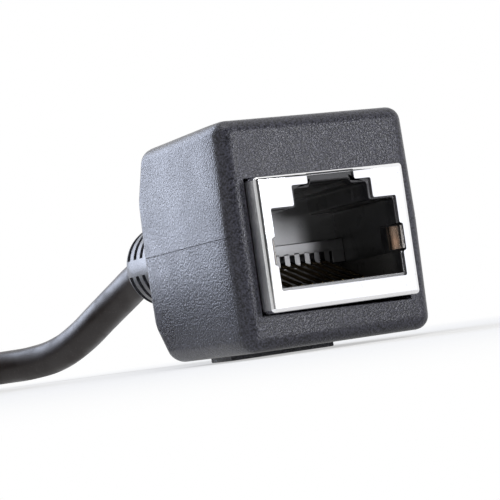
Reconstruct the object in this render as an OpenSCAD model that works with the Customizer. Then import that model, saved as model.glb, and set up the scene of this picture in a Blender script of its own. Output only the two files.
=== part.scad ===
// Inline network socket: a shielded modular socket in a two-part housing, on a thin lead that ends in a
// modular plug. +Y runs from the socket's mouth to the cord and +Z points up. The part lies on its foot
// pad, and its origin is under the middle of the housing and shield, on the resting surface.

/* [Housing] */
// Width of the housing at its seam
housing_w = 19; // [18.6:0.2:24]
// Height of the housing without its foot pad
housing_h = 20; // [19:0.5:26]
// Depth of the housing from its front face to its rear face
housing_d = 19.6; // [19.2:0.2:26]
// Wall thickness of the two shells
shell_wall = 1.6; // [1.2:0.1:1.8]
// Rounding of the edges that run front to rear
long_edge_r = 1.3; // [0.5:0.1:1.8]
// Rounding of the front and rear edges
face_edge_r = 1.2; // [0.4:0.1:1.4]
// How far each side leans in from the seam to the top and to the bottom
side_draft = 0.2; // [0.05:0.05:0.4]
// Depth of the slope at the top of the rear
top_slope_d = 2.2; // [1.6:0.1:3]
// Height of the slope at the top of the rear
top_slope_h = 4.6; // [3:0.1:5]
// Depth of the slope at the bottom of the rear
low_slope_d = 2.6; // [1.6:0.1:3]
// Height of the slope at the bottom of the rear
low_slope_h = 3.4; // [3:0.1:5]
// Width of the foot pad on the underside
foot_w = 10.6; // [6:0.2:14]
// Depth of the foot pad
foot_d = 4.6; // [3:0.2:5]
// Height of the foot pad
foot_h = 0.5; // [0.3:0.1:1]
// Distance from the front face of the housing to the foot pad
foot_setback = 11.8; // [4:0.2:12]
// Diameter of the locating pegs between the shells
peg_d = 1; // [0.8:0.1:1.2]

/* [Shield] */
// Width of the shield
shield_w = 14.5; // [14.3:0.1:14.9]
// Height of the shield
shield_h = 11.6; // [11.4:0.1:12]
// How far the shield's face stands out of the housing
shield_proud = 1.9; // [1:0.1:2.5]
// Height of the shield's underside above the housing's underside
shield_low = 3.1; // [2.6:0.1:3.6]
// Sheet thickness of the shield
sheet_t = 0.3; // [0.2:0.05:0.35]
// Room between the shield and the housing's side walls
shield_room = 0.45; // [0.1:0.05:0.6]
// Dark gap in the housing under the shield
under_gap = 0.3; // [0.2:0.1:0.7]
// Width of the plug opening in the shield
mouth_w = 12.24; // [12:0.02:12.4]
// Height of the main part of the plug opening
mouth_h = 7.06; // [6.8:0.02:7.2]
// Metal left under the plug opening
mouth_sill = 1.74; // [1.5:0.02:1.9]
// Width of the middle step of the opening
step_w = 7.74; // [7:0.02:8]
// Height of the middle step
step_h = 1.76; // [1.4:0.02:1.8]
// Width of the latch notch at the top
notch_w = 4.56; // [4:0.02:5]
// Metal left above the latch notch
notch_rim = 0.16; // [0.1:0.02:0.3]
// Height of a ground finger
finger_h = 2; // [1.4:0.1:2.4]
// Length of a ground finger behind the shield's face
finger_l = 2.4; // [2:0.1:5]
// Sheet thickness of a ground finger
finger_t = 0.2; // [0.15:0.05:0.25]
// How far a ground finger bulges into the cavity
finger_bulge = 0.4; // [0.2:0.05:0.5]

/* [Socket] */
// Thickness of the contact carrier's block behind the socket body
carrier_t = 2.35; // [1.8:0.05:2.6]
// Thickness of the cavity's back wall
back_wall = 1; // [0.8:0.1:1.4]
// How far the plastic lip stands inside the opening at the sides
lip_side = 0.17; // [0.1:0.01:0.25]
// How far the plastic lip stands above the metal sill
lip_low = 0.3; // [0.2:0.02:0.4]
// How far the plastic lip stands inside the steps
lip_step = 0.32; // [0.2:0.02:0.4]
// How far the plastic lip stands down from the top of the latch notch
lip_notch = 0.6; // [0.4:0.02:0.7]
// Spacing of the contacts
contact_pitch = 1.02; // [0.98:0.02:1.06]
// Wire diameter of the contacts
wire_d = 0.36; // [0.28:0.02:0.4]
// Room between the tips of the sprung arms and the cavity's back wall
tip_room = 0.6; // [0.5:0.05:0.9]
// Rise of the arms towards the rear, in degrees
arm_rise = 16.8; // [14:0.2:18]
// Bend radius at the front of a contact
bend_r = 0.42; // [0.36:0.02:0.5]
// Distance from the shield's face to the centre of the front bends
bend_back = 3.6; // [3.4:0.1:3.8]
// Thickness of the comb, front to rear
comb_t = 1.2; // [0.8:0.1:1.4]
// Slot width between the comb's teeth
slot_w = 0.46; // [0.44:0.02:0.6]
// Thickness of the solder board
board_t = 1; // [0.8:0.1:1.2]
// Free length of the conductors from the board to the cord's jacket
core_run = 1.8; // [1.4:0.1:2.2]
// Diameter of an insulated conductor
core_d = 0.7; // [0.6:0.05:0.8]
// Diameter of the bare drain wire
drain_d = 0.5; // [0.3:0.05:0.5]

/* [Lead] */
// Diameter of the cord
cord_d = 3.8; // [3.4:0.1:4]
// Length of the strain relief behind the housing
boot_l = 18; // [14:0.5:24]
// Diameter of the strain relief at the housing
boot_root_d = 9.4; // [8.8:0.1:10]
// Diameter of the strain relief at its end
boot_end_d = 8.4; // [7.4:0.1:8.6]
// Spacing of the slots along the strain relief
boot_slot_pitch = 1.8; // [1.6:0.1:2.4]
// Width of a slot
boot_slot_w = 0.85; // [0.6:0.05:1]
// Half height of the solid web at each side of the slots
boot_web = 0.9; // [0.6:0.1:1.4]
// Diameter of the ferrule on the jacket
ferrule_d = 5.2; // [4.8:0.1:5.6]
// Thickness of the tie round the coil
tie_t = 0.4; // [0.3:0.1:0.4]
// Width of the tie
tie_w = 6; // [4:0.5:8]

/* [Plug] */
// Length of the plug's plastic body
plug_l = 21.4; // [20:0.2:23]
// Width of the plug's plastic body
plug_w = 11.7; // [11.6:0.02:11.78]
// Height of the plug's body at its nose
plug_nose_h = 6.6; // [6.4:0.05:6.6]
// Height of the plug's body at its rear
plug_rear_h = 7.7; // [7.4:0.1:8]
// Length of the latch lever
latch_l = 13.6; // [12:0.2:14]
// Thickness of the latch lever
latch_t = 0.9; // [0.7:0.1:1.1]
// Rise of the latch lever at rest, in degrees
latch_rise = 15; // [12:0.5:16]
// Length of the plug's boot
plug_boot_l = 11; // [8:0.5:14]

/* [Hidden] */
$fn = 32;
// Named clearances: seated pieces, running pieces, and a cut that runs past a face
seat = 0.05;
run = 0.08;
past = 1;
// Number of contacts, conductors and blades
ways = 8;
corner_steps = 5;

// Places along Y
mouth_y = -(housing_d + shield_proud) / 2;
front_y = mouth_y + shield_proud;
rear_y = front_y + housing_d;
jack_y = mouth_y + sheet_t;
wall_y = rear_y - shell_wall;
flange_t = 0.9;
flange_y = wall_y - seat - flange_t;
ferrule_l = 1;
ferrule_y = flange_y - seat - ferrule_l;
jacket_lead = 0.2;
jacket_y = ferrule_y - jacket_lead;
board_y = jacket_y - core_run - board_t;
shield_d = board_y - mouth_y;
jack_d = shield_d - carrier_t - seat;
cavity_d = jack_d - back_wall;
boot_end_y = rear_y + boot_l;

// Heights
base_z = foot_h;
top_z = base_z + housing_h;
seam_z = base_z + housing_h / 2;
shield_z = base_z + shield_low;
shield_top = shield_z + shield_h;
mouth_z = shield_z + mouth_sill;
mouth_top = mouth_z + mouth_h;
step_top = mouth_top + step_h;
notch_top = shield_top - notch_rim;
jack_z = shield_z + sheet_t + seat;
jack_top = shield_top - sheet_t - seat;
floor_z = mouth_z + lip_low;
finger_drop = 0.15;
finger_z = mouth_z + mouth_h / 2 - finger_drop;
finger_room = 0.2;

// Socket insides
jack_w = shield_w - 2 * (sheet_t + seat);
cavity_w = mouth_w - 2 * lip_side;
root_lift = 1;
root_z = jack_z + root_lift;
bend_y = mouth_y + bend_back;
bend_z = root_z + bend_r;
hinge_y = bend_y - bend_r * sin(arm_rise);
hinge_z = bend_z + bend_r * cos(arm_rise);
arm_l = (mouth_y + cavity_d - tip_room - hinge_y) / cos(arm_rise);
tip_z = hinge_z + arm_l * sin(arm_rise);
comb_y = mouth_y + cavity_d - comb_t;
tip_lift = 0.45;
tooth_l = 1.1;
beam_h = 1.15;
comb_slot_top = tip_z + wire_d / 2 + tip_lift;
comb_low = comb_slot_top - tooth_l;
comb_top = comb_slot_top + beam_h;
row_w = ways * contact_pitch;
carrier_edge = 0.25;
carrier_room = 0.1;
carrier_cover = 0.15;
carrier_w = row_w + 2 * carrier_edge;
well_w = carrier_w + 2 * carrier_room;
well_drop = 0.8;
well_top = comb_low - well_drop;
carrier_z = jack_z + seat;
carrier_top = root_z + wire_d / 2 + carrier_cover;
carrier_back_y = mouth_y + jack_d + seat;
carrier_drop = 2;
carrier_block_top = jack_top - carrier_drop;
board_inset = 0.4;
board_w = jack_w - 2 * board_inset;
board_top = jack_top - board_inset;
hole_room = 0.07;
board_hole_d = wire_d + 2 * hole_room;
tail_l = 0.4;
tab_w = 2.6;
tab_end = 0.6;
drain_back = 0.7;
drain_y = board_y + board_t + drain_back;
core_ring_r = 1.25;
core_angles = [22.5, 67.5];
pads_per_row = ways / 2;
pad_dx = 3;
pad_dz = 3;

// Rounds the corner b of the outline a, b, c with an arc
function unit(v) = v / norm(v);
function corner_arc(a, b, c, r) = let (
    u = unit(a - b),
    v = unit(c - b),
    half = acos(u * v) / 2,
    centre = b + unit(u + v) * r / sin(half),
    from = b + u * r / tan(half) - centre,
    to = b + v * r / tan(half) - centre,
    start = atan2(from.y, from.x),
    sweep = (atan2(to.y, to.x) - start + 540) % 360 - 180
) [for (i = [0:corner_steps]) centre + r * [
    cos(start + sweep * i / corner_steps),
    sin(start + sweep * i / corner_steps)
]];
function rounded(points, r) = let (n = len(points)) [
    for (i = [0:n - 1]) each (r[i] == 0 ? [points[i]] :
        corner_arc(points[(i + n - 1) % n], points[i], points[(i + 1) % n], r[i]))
];

// Solids from an outline: along X for a side view, along Y for a front view
module along_x(width) {
    rotate([90, 0, 90]) linear_extrude(width, center = true) children();
}
module along_y(from, to) {
    translate([0, to, 0]) rotate([90, 0, 0]) linear_extrude(to - from) children();
}
module rod_y(d, from, to, x = 0, z = 0) {
    translate([x, from, z]) rotate([-90, 0, 0]) cylinder(d = d, h = to - from);
}
module rod_between(a, b, d) {
    v = b - a;
    translate(a) rotate([0, acos(v.z / norm(v)), atan2(v.y, v.x)]) cylinder(d = d, h = norm(v));
}
module block(x, y, z) {
    translate([x[0], y[0], z[0]]) cube([x[1] - x[0], y[1] - y[0], z[1] - z[0]]);
}
module middle_block(width, y, z) {
    block([-width / 2, width / 2], y, z);
}
function contact_x(i) = (i - (ways + 1) / 2) * contact_pitch;
function about(middle, half) = [middle - half, middle + half];

// The closed form of the housing, from its front, side and top outlines
front_outline = rounded([
    [-housing_w / 2 + side_draft, base_z],
    [housing_w / 2 - side_draft, base_z],
    [housing_w / 2, seam_z],
    [housing_w / 2 - side_draft, top_z],
    [-housing_w / 2 + side_draft, top_z],
    [-housing_w / 2, seam_z]
], [long_edge_r, long_edge_r, 0, long_edge_r, long_edge_r, 0]);
side_outline = rounded([
    [front_y, base_z],
    [rear_y - low_slope_d, base_z],
    [rear_y, base_z + low_slope_h],
    [rear_y, top_z - top_slope_h],
    [rear_y - top_slope_d, top_z],
    [front_y, top_z]
], [for (i = [0:5]) face_edge_r]);
plan_margin = 0.01;
plan_w = housing_w + 2 * plan_margin;
plan_outline = rounded([
    [-plan_w / 2, front_y],
    [plan_w / 2, front_y],
    [plan_w / 2, rear_y],
    [-plan_w / 2, rear_y]
], [for (i = [0:3]) face_edge_r]);
module housing_form() {
    intersection() {
        along_y(front_y, rear_y) polygon(front_outline);
        along_x(housing_w + past) polygon(side_outline);
        translate([0, 0, base_z]) linear_extrude(housing_h) polygon(plan_outline);
    }
}

// The hollow keeps the wall's thickness behind the two rear slopes as well
top_slope_l = norm([top_slope_d, top_slope_h]);
low_slope_l = norm([low_slope_d, low_slope_h]);
hollow_w = shield_w + 2 * shield_room;
hollow_outline = [
    [front_y + shell_wall, base_z + shell_wall],
    [rear_y - low_slope_d - shell_wall * (low_slope_l - low_slope_d) / low_slope_h, base_z + shell_wall],
    [wall_y, base_z + low_slope_h + shell_wall * (low_slope_l - low_slope_h) / low_slope_d],
    [wall_y, top_z - top_slope_h - shell_wall * (top_slope_l - top_slope_h) / top_slope_d],
    [rear_y - top_slope_d - shell_wall * (top_slope_l - top_slope_d) / top_slope_h, top_z - shell_wall],
    [front_y + shell_wall, top_z - shell_wall]
];
neck_step = 0.6;
neck_d = boot_root_d - 2 * neck_step;
module housing_room() {
    along_x(hollow_w) polygon(hollow_outline);
    middle_block(shield_w + 2 * seat, [front_y - past, front_y + shell_wall + past],
        [shield_z - under_gap, shield_top + seat]);
    rod_y(neck_d + 2 * seat, wall_y - past, rear_y + past, 0, seam_z);
}

// Ribs that hold the shield, and the posts of the two locating pegs
rib_t = 1.2;
rib_inset = 1;
rib_w = shield_w - 2 * rib_inset;
rib_front = 1.5;
rib_back = 3;
rib_places = [front_y + shell_wall + rib_front, board_y - rib_back];
post_wall = 0.6;
post_bite = 0.2;
post_d = peg_d + 2 * post_wall;
post_x = hollow_w / 2 - post_d / 2 + post_bite;
post_y = wall_y - post_d / 2 + post_bite;
peg_l = 2;
module ribs(z) {
    for (y = rib_places) middle_block(rib_w, [y, y + rib_t], z);
}
module posts(z) {
    intersection() {
        for (side = [-1, 1]) translate([side * post_x, post_y, z[0]]) cylinder(d = post_d, h = z[1] - z[0]);
        housing_form();
    }
}

module upper_shell() {
    color("#3a3b42") {
        difference() {
            intersection() {
                housing_form();
                middle_block(2 * housing_w, [front_y - past, rear_y + past], [seam_z, top_z + past]);
            }
            housing_room();
        }
        ribs([shield_top, top_z - shell_wall / 2]);
        posts([seam_z, top_z - shell_wall / 2]);
        for (side = [-1, 1])
            translate([side * post_x, post_y, seam_z - peg_l]) cylinder(d = peg_d, h = peg_l + past);
    }
}

module lower_shell() {
    color("#3a3b42") {
        difference() {
            union() {
                difference() {
                    intersection() {
                        housing_form();
                        middle_block(2 * housing_w, [front_y - past, rear_y + past], [base_z - past, seam_z]);
                    }
                    housing_room();
                }
                posts([base_z + shell_wall / 2, seam_z]);
            }
            for (side = [-1, 1])
                translate([side * post_x, post_y, seam_z - peg_l - seat])
                    cylinder(d = peg_d + 2 * seat, h = peg_l + past);
        }
        ribs([base_z + shell_wall / 2, shield_z]);
        foot_y = front_y + foot_setback;
        middle_block(foot_w, [foot_y, foot_y + foot_d], [0, base_z + shell_wall / 2]);
    }
}

// The stepped plug opening, as a front outline; the plastic's copy is smaller by its lips
function mouth_outline(half_w, half_step, half_notch, low, main_top, mid_top, top) = [
    [-half_w, low], [half_w, low],
    [half_w, main_top], [half_step, main_top],
    [half_step, mid_top], [half_notch, mid_top],
    [half_notch, top], [-half_notch, top],
    [-half_notch, mid_top], [-half_step, mid_top],
    [-half_step, main_top], [-half_w, main_top]
];
finger_cut = 0.3;
module shield() {
    color("#e4e6ea") {
        difference() {
            middle_block(shield_w, [mouth_y, mouth_y + shield_d], [shield_z, shield_top]);
            middle_block(shield_w - 2 * sheet_t, [jack_y, mouth_y + shield_d + past],
                [shield_z + sheet_t, shield_top - sheet_t]);
            along_y(mouth_y - past, jack_y + past) polygon(mouth_outline(mouth_w / 2, step_w / 2, notch_w / 2,
                mouth_z, mouth_top, step_top, notch_top));
            middle_block(mouth_w + 2 * finger_cut, [mouth_y - past, jack_y],
                [finger_z - finger_h / 2 - finger_room, finger_z + finger_h / 2 + finger_room]);
        }
        middle_block(tab_w, [mouth_y + shield_d - past, drain_y + tab_end],
            [shield_top - sheet_t, shield_top]);
    }
}

// A ground finger is a strip that leaves the cut in the shield's face, bulges inwards and springs back.
// Its outline is drawn for the right side, as seen from above, as a centre line with a thickness.
finger_x = mouth_w / 2 + finger_cut - run - finger_t;
finger_lead = 0.5;
finger_crest = 0.62;
finger_tip = 0.1;
finger_line = [
    [finger_x + finger_t / 2, mouth_y + finger_t / 2],
    [finger_x, mouth_y + finger_lead],
    [cavity_w / 2 - finger_bulge, mouth_y + finger_l * finger_crest],
    [cavity_w / 2 + finger_tip, mouth_y + finger_l]
];
module ground_finger(side) {
    half = [finger_t / 2, 0];
    color("#c9b79a")
        translate([0, 0, finger_z - finger_h / 2])
            linear_extrude(finger_h)
                mirror([side < 0 ? 1 : 0, 0])
                    polygon(concat([for (p = finger_line) p + half],
                        [for (i = [len(finger_line) - 1:-1:0]) finger_line[i] - half]));
}
module ground_finger_left() { ground_finger(-1); }
module ground_finger_right() { ground_finger(1); }

// Recesses in the cavity's sides give the fingers room to spring back; the comb bites into the walls
recess_room = 0.6;
recess_bite = 0.15;
comb_bite = 0.2;
module jack_body() {
    recess_x = (cavity_w / 2 + jack_w / 2) / 2;
    recess_w = (jack_w - cavity_w) / 2 + 2 * recess_bite;
    color("#202126") {
        difference() {
            middle_block(jack_w, [jack_y, mouth_y + jack_d], [jack_z, jack_top]);
            along_y(jack_y - past, mouth_y + cavity_d) polygon(mouth_outline(cavity_w / 2,
                step_w / 2 - lip_step, notch_w / 2 - lip_step, floor_z, mouth_top - lip_side,
                step_top - lip_step, jack_top - lip_notch));
            middle_block(well_w, [bend_y - bend_r - wire_d, mouth_y + jack_d + past],
                [jack_z - past, well_top]);
            for (side = [-1, 1])
                block(about(side * recess_x, recess_w / 2), [jack_y - past, jack_y + finger_l + recess_room],
                    about(finger_z, finger_h / 2 + finger_room));
        }
        difference() {
            middle_block(cavity_w + comb_bite, [comb_y, mouth_y + cavity_d + comb_bite],
                [comb_low, comb_top]);
            for (i = [1:ways])
                block(about(contact_x(i), slot_w / 2), [comb_y - past, mouth_y + cavity_d],
                    [comb_low - past, comb_slot_top]);
        }
    }
}

groove_drop = 0.02;
module contact_carrier() {
    groove = wire_d + 2 * seat;
    groove_z = root_z - wire_d / 2 - groove_drop;
    color("#2b2c31")
        difference() {
            union() {
                middle_block(carrier_w, [bend_y + run, carrier_back_y + seat], [carrier_z, carrier_top]);
                middle_block(jack_w - 2 * seat, [carrier_back_y, board_y], [carrier_z, carrier_block_top]);
            }
            for (i = [1:ways]) {
                block(about(contact_x(i), groove / 2), [bend_y - past, carrier_back_y - seat],
                    [groove_z, carrier_top + past]);
                rod_y(groove, carrier_back_y - past, board_y + past, contact_x(i), root_z);
            }
        }
}

// The fixed part of the eight contacts: a tail through the board and the bend at the front
module contact_roots() {
    color("#d8b25a")
        for (i = [1:ways]) {
            rod_y(wire_d, bend_y, board_y + board_t + tail_l, contact_x(i), root_z);
            translate([contact_x(i), bend_y, bend_z]) rotate([90, 0, 90]) rotate([0, 0, 90 + arm_rise])
                rotate_extrude(angle = 180 - arm_rise) translate([bend_r, 0]) circle(d = wire_d);
        }
}

module contact_arm(i) {
    color("#d8b25a")
        translate([contact_x(i), hinge_y, hinge_z]) rotate([arm_rise - 90, 0, 0])
            translate([0, 0, run]) cylinder(d = wire_d, h = arm_l - run);
}

module solder_board() {
    color("#1f6b3a")
        difference() {
            middle_block(board_w, [board_y, board_y + board_t], [carrier_z, board_top]);
            for (i = [1:ways])
                rod_y(board_hole_d, board_y - past, board_y + board_t + past, contact_x(i), root_z);
        }
}

// Conductors run from two rows of pads on the board to a ring of cores at the end of the jacket
function pad_place(i) = let (col = (i - 1) % pads_per_row, row = i <= pads_per_row ? 1 : -1)
    [(col - (pads_per_row - 1) / 2) * pad_dx, seam_z + row * pad_dz];
function core_place(i) = let (p = pad_place(i), up = p[1] > seam_z ? 1 : -1,
    angle = abs(p[0]) > pad_dx ? core_angles[0] : core_angles[1])
    [sign(p[0]) * core_ring_r * cos(angle), seam_z + up * core_ring_r * sin(angle)];
core_colours = ["#e8e4dc", "#e07a2a", "#dfe8df", "#2f63b8", "#dfe4ea", "#3f8f4a", "#e6ddd6", "#7a4a30"];
core_lead = 0.3;
knuckle = 0.06;
module conductor(i) {
    pad = pad_place(i);
    core = core_place(i);
    leave_y = board_y + board_t + core_lead;
    enter_y = jacket_y - core_lead;
    color(core_colours[i - 1]) {
        rod_y(core_d, board_y + board_t, leave_y, pad[0], pad[1]);
        translate([pad[0], leave_y, pad[1]]) sphere(d = core_d + knuckle);
        rod_between([pad[0], leave_y, pad[1]], [core[0], enter_y, core[1]], core_d);
        translate([core[0], enter_y, core[1]]) sphere(d = core_d + knuckle);
        rod_y(core_d, enter_y, jacket_y, core[0], core[1]);
    }
}

module drain_wire() {
    color("#c8c8c4") {
        rod_y(drain_d, drain_y, jacket_y, 0, seam_z);
        translate([0, drain_y, seam_z]) sphere(d = drain_d + knuckle);
        translate([0, drain_y, seam_z]) cylinder(d = drain_d, h = shield_top - sheet_t - seam_z);
    }
}

module crimp_ring() {
    color("#b9bcc2")
        difference() {
            rod_y(ferrule_d, ferrule_y, ferrule_y + ferrule_l, 0, seam_z);
            rod_y(cord_d + 2 * seat, ferrule_y - past, ferrule_y + ferrule_l + past, 0, seam_z);
        }
}

// A slotted boot: a flange behind the wall, a neck through it, and a tapered body with cut rings
boot_tip_r = 1.2;
boot_core_wall = 1;
boot_core_d = cord_d + 2 * boot_core_wall;
boot_last_slot = 1.7;
boot_slots = floor((boot_l - 2 * boot_last_slot) / boot_slot_pitch);
flange_w = 0.9;
module strain_relief() {
    color("#44464f")
        difference() {
            union() {
                rod_y(neck_d + 2 * flange_w, flange_y, flange_y + flange_t, 0, seam_z);
                rod_y(neck_d, flange_y, rear_y + past, 0, seam_z);
                translate([0, rear_y + seat, seam_z]) rotate([-90, 0, 0])
                    rotate_extrude() polygon(concat(
                        [[0, 0], [boot_root_d / 2, 0]],
                        corner_arc([boot_root_d / 2, 0], [boot_end_d / 2, boot_l - seat],
                            [0, boot_l - seat], boot_tip_r),
                        [[0, boot_l - seat]]));
            }
            rod_y(cord_d + 2 * seat, flange_y - past, boot_end_y + past, 0, seam_z);
            for (i = [0:boot_slots - 1])
                boot_slot_ring(boot_end_y - boot_last_slot - i * boot_slot_pitch);
        }
}
module boot_slot_ring(y) {
    difference() {
        rod_y(boot_root_d + past, y - boot_slot_w / 2, y + boot_slot_w / 2, 0, seam_z);
        rod_y(boot_core_d, y - past, y + past, 0, seam_z);
        middle_block(boot_root_d + 2 * past, about(y, past), about(seam_z, boot_web));
    }
}

module cord_held() {
    color("#2a2627") rod_y(cord_d, jacket_y, boot_end_y, 0, seam_z);
}

// A tube along a route, with a ring of corners square to the route at each point
function way_at(path, i) = let (n = len(path) - 1)
    i == 0 ? unit(path[1] - path[0]) :
    i == n ? unit(path[n] - path[n - 1]) :
    unit(unit(path[i + 1] - path[i]) + unit(path[i] - path[i - 1]));
function ring_at(path, i, r, sides) = let (
    way = way_at(path, i),
    across = unit(cross(way, [0, 0, 1])),
    up = cross(across, way)
) [for (k = [0:sides - 1]) path[i] + r * (cos(360 * k / sides) * across + sin(360 * k / sides) * up)];
module tube(path, d, sides) {
    last = len(path) - 1;
    corners = [for (i = [0:last]) each ring_at(path, i, d / 2, sides)];
    walls = [for (i = [0:last - 1], k = [0:sides - 1]) let (
        a = i * sides + k,
        b = i * sides + (k + 1) % sides
    ) each [[a, b, a + sides], [b, b + sides, a + sides]]];
    start_cap = [for (k = [1:sides - 2]) [0, k + 1, k]];
    end_cap = [for (k = [1:sides - 2]) [last * sides, last * sides + k, last * sides + k + 1]];
    polyhedron(corners, concat(walls, start_cap, end_cap));
}
lead_sides = 8;
coil_sides = 6;

// The coil lies on its tie beside the lead: the turns spiral in below and out again above
tie_slack = 0.1;
coil_room = 0.6;
lay_z = tie_t + tie_slack + cord_d / 2;
coil_x = -37.8;
coil_y = 47;
coil_turns = 3 + 7 / 24;
coil_rings = 24;
coil_step = cord_d + coil_room;
coil_inner_r = 16;
function smooth_step(t) = let (c = min(max(t, 0), 1)) c * c * (3 - 2 * c);
function coil_radius(t) = coil_inner_r + coil_step * abs(t - coil_turns / 2);
function coil_height(t) = lay_z + coil_step * smooth_step(2 * (t - coil_turns / 2) + 0.5);
function coil_point(t) = [
    coil_x + coil_radius(t) * cos(90 + 360 * t),
    coil_y + coil_radius(t) * sin(90 + 360 * t),
    coil_height(t)
];
coil_loops = [for (k = [0:coil_rings * coil_turns]) coil_point(k / coil_rings)];
coil_in = coil_point(0) + [cord_d, 0, 0];
coil_heading = [-sin(90 + 360 * coil_turns), cos(90 + 360 * coil_turns), 0];
coil_out = coil_point(coil_turns) + cord_d * coil_heading;
coil_path = concat([coil_in], coil_loops, [coil_out]);
coil_gap = min([for (i = [0:len(coil_path) - 1], j = [i + coil_rings / 2:1:len(coil_path) - 1])
    norm(coil_path[i] - coil_path[j])]) - cord_d;
echo("least gap between the coil's turns in mm", coil_gap);

// Routes of the free stretches; the first and last points of each meet the boot, the coil or the plug
straight = 1.5;
lead_route = concat(
    [[0, boot_end_y, seam_z], [0, boot_end_y + straight, seam_z]],
    [[-0.3, 34, 9.8], [-1, 38, 8.3], [-2.2, 42, 6.4], [-3.4, 46, 4.5], [-4.8, 50, 3.1]],
    [[-6.5, 54, 2.5], [-8.9, 58, 2.4], [-12.3, 62, 2.4], [-16.8, 65.6, 2.4], [-22, 68.4, 2.4]],
    [coil_in + [4, 0, 0], coil_in]
);
plug_x = -58.1;
plug_axis_z = 4.2;
plug_end_y = 22.5;
tail_route = concat(
    [coil_out, coil_out + 2 * coil_heading],
    [[-58.3, 32.8, 6.4], [plug_x, 30, 5.6], [plug_x, 27, 4.7]],
    [[plug_x, plug_end_y + straight, plug_axis_z], [plug_x, plug_end_y, plug_axis_z]]
);
module cord_lead() { color("#2a2627") tube(lead_route, cord_d, lead_sides); }
module cord_coil() { color("#2a2627") tube(coil_path, cord_d, coil_sides); }
module cord_tail() { color("#2a2627") tube(tail_route, cord_d, lead_sides); }

// The tie is a flat band round the turns at the coil's front
tie_turn = 0.5;
tie_strands = [for (t = [tie_turn:1:coil_turns]) [coil_radius(t), coil_height(t)]];
tie_side = 0.5;
tie_round = 0.6;
tie_reach = [cord_d / 2 + tie_side, cord_d / 2 + tie_slack];
tie_low = [min([for (s = tie_strands) s[0]]), min([for (s = tie_strands) s[1]])] - tie_reach;
tie_high = [max([for (s = tie_strands) s[0]]), max([for (s = tie_strands) s[1]])] + tie_reach;
function band_outline(grow) = rounded([
    tie_low - grow * [1, 1],
    [tie_high[0] + grow, tie_low[1] - grow],
    tie_high + grow * [1, 1],
    [tie_low[0] - grow, tie_high[1] + grow]
], [for (i = [0:3]) tie_round + grow]);
module cord_tie() {
    color("#1c1c1f")
        translate([coil_x, coil_y, 0]) rotate([0, 0, 90 + 360 * tie_turn]) rotate([90, 0, 0])
            linear_extrude(tie_w, center = true)
                difference() {
                    polygon(band_outline(tie_t));
                    polygon(band_outline(0));
                }
}

// The plug at the far end lies on the surface with its latch up, nose towards -Y
plug_shell_t = 0.25;
plug_low = plug_shell_t + seat;
plug_nose_y = plug_end_y - plug_boot_l - plug_l;
plug_nose_top = plug_low + plug_nose_h;
plug_rear_top = plug_low + plug_rear_h;
plug_step_y = 9;
plug_bridge = 3;
latch_channel_w = 7.6;
latch_side = 0.8;
latch_w = latch_channel_w - 2 * latch_side;
latch_root_y = 1.6;
latch_root_t = 0.9;
latch_lift = 0.35;
latch_pivot_z = plug_nose_top + latch_lift;
latch_wide_l = 5.4;
latch_tip_w = 3.3;
blade_l = 4.2;
blade_h = 3;
blade_t = 0.32;
blade_y = 0.9;
blade_recess = 0.25;
blade_z = [plug_low + blade_recess, plug_low + blade_recess + blade_h];
shell_y = 7.4;
module at_plug() {
    translate([plug_x, plug_nose_y, 0]) children();
}
module plug_body() {
    color("#2b2c31")
        at_plug()
            difference() {
                union() {
                    middle_block(plug_w, [0, plug_l], [plug_low, plug_nose_top]);
                    middle_block(plug_w, [plug_step_y, plug_l], [plug_low, plug_rear_top]);
                    middle_block(latch_w, [latch_root_y - latch_root_t, latch_root_y],
                        [plug_low, latch_pivot_z]);
                }
                middle_block(latch_channel_w, [plug_step_y - past, plug_l - plug_bridge],
                    [plug_nose_top, plug_rear_top + past]);
                for (i = [1:ways])
                    block(about(contact_x(i), blade_t / 2 + seat),
                        [blade_y - seat, blade_y + blade_l + seat], [plug_low - past, blade_z[1] + seat]);
            }
}
module plug_blades() {
    color("#d8b25a")
        at_plug()
            for (i = [1:ways])
                block(about(contact_x(i), blade_t / 2), [blade_y, blade_y + blade_l], blade_z);
}
module plug_latch() {
    color("#2b2c31")
        at_plug()
            translate([0, latch_root_y, latch_pivot_z]) rotate([latch_rise, 0, 0]) {
                middle_block(latch_w, [run, latch_wide_l], [0, latch_t]);
                middle_block(latch_tip_w, [latch_wide_l - past, latch_l], [0, latch_t]);
            }
}
module plug_shell() {
    half = plug_w / 2 + seat;
    shell_top = plug_rear_top + seat;
    color("#d6d9dd")
        at_plug()
            difference() {
                middle_block(2 * (half + plug_shell_t), [shell_y, plug_l], [0, shell_top + plug_shell_t]);
                middle_block(2 * half, [shell_y - past, plug_l + past], [plug_shell_t, shell_top]);
                middle_block(latch_channel_w, [shell_y - past, plug_l - plug_bridge],
                    [plug_rear_top, shell_top + past]);
            }
}
collar_l = 3;
collar_inset = 0.2;
sleeve_wall = 0.7;
module plug_boot() {
    color("#2a2627")
        at_plug() {
            middle_block(plug_w - 2 * collar_inset, [plug_l, plug_l + collar_l],
                [plug_low + collar_inset, plug_rear_top - collar_inset]);
            translate([0, plug_l + collar_l, plug_axis_z]) rotate([-90, 0, 0])
                cylinder(d1 = plug_rear_h - 3 * collar_inset, d2 = cord_d + 2 * sleeve_wall,
                    h = plug_boot_l - collar_l);
        }
}

upper_shell();
lower_shell();
shield();
ground_finger_left();
ground_finger_right();
jack_body();
contact_carrier();
contact_roots();
for (i = [1:ways]) contact_arm(i);
solder_board();
for (i = [1:ways]) conductor(i);
drain_wire();
crimp_ring();
strain_relief();
cord_held();
cord_lead();
cord_coil();
cord_tail();
cord_tie();
plug_body();
plug_latch();
plug_blades();
plug_shell();
plug_boot();
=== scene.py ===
import math

import bmesh
import bpy
from mathutils import Matrix, Vector


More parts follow.
